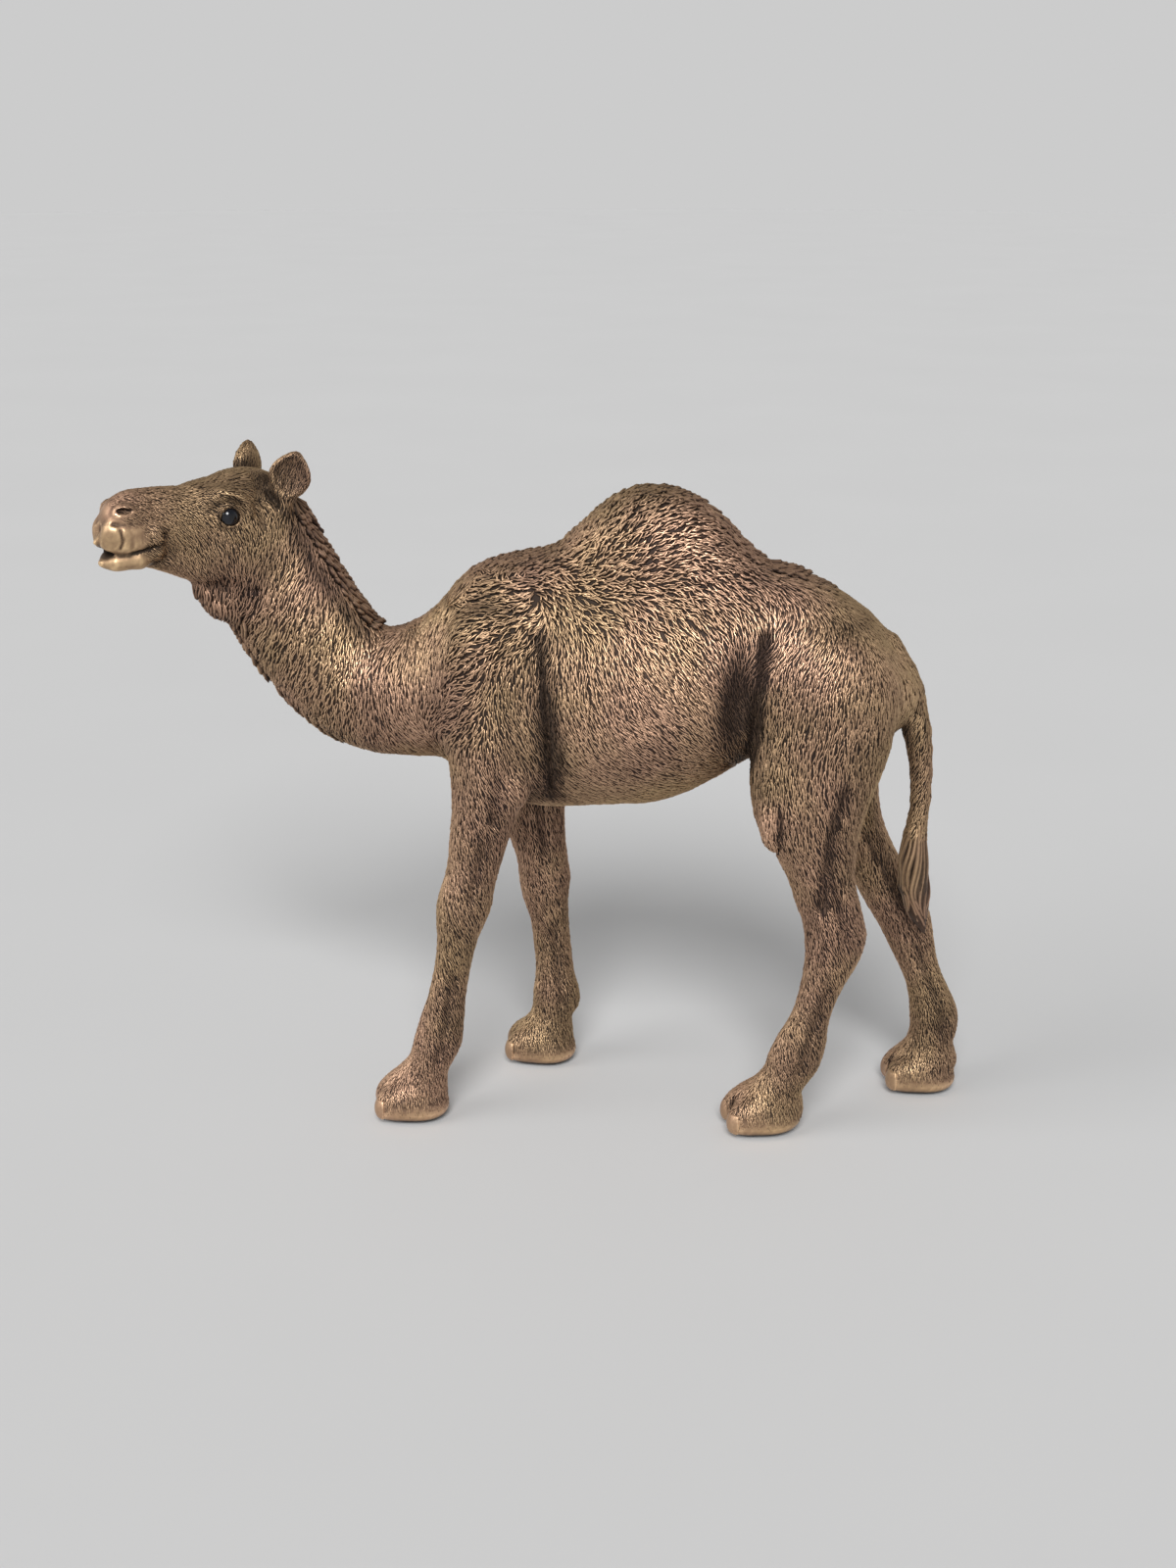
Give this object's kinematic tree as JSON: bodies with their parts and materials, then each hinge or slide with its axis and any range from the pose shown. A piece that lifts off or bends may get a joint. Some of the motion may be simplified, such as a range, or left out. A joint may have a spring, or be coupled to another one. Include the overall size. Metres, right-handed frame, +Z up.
{
  "type": "dromedary camel statuette",
  "caption": "Standing one-humped camel figurine cast in resin with an antique bronze finish, head turned to its left, walking stance, dark inset eyes.",
  "frame": {"origin": "middle of the footprint's bounding box, on the surface that the soles stand on", "axes": "+Z up, the trunk runs along Y with the head end towards -Y, the camel's left side towards +X"},
  "size_m": [0.0696, 0.2554, 0.2039],
  "materials": {
    "antique_bronze": "cold-cast bronze with a brown antique patina, dark in the recesses and rubbed bright on the crests of the modelled hair, semi-gloss",
    "eye_glass": "glossy blue-black inset bead"
  },
  "bodies": {
    "root": {"eye_left": "eye_glass", "eye_right": "eye_glass", "ear_left": "antique_bronze", "ear_right": "antique_bronze", "head": "antique_bronze", "lower_jaw": "antique_bronze", "neck": "antique_bronze", "trunk": "antique_bronze", "hump": "antique_bronze", "tail": "antique_bronze", "tail_tassel": "antique_bronze", "foreleg_left": "antique_bronze", "foreleg_right": "antique_bronze", "hindleg_left": "antique_bronze", "hindleg_right": "antique_bronze", "forefoot_left": "antique_bronze", "forefoot_right": "antique_bronze", "hindfoot_left": "antique_bronze", "hindfoot_right": "antique_bronze"}
  },
  "joints": []
}
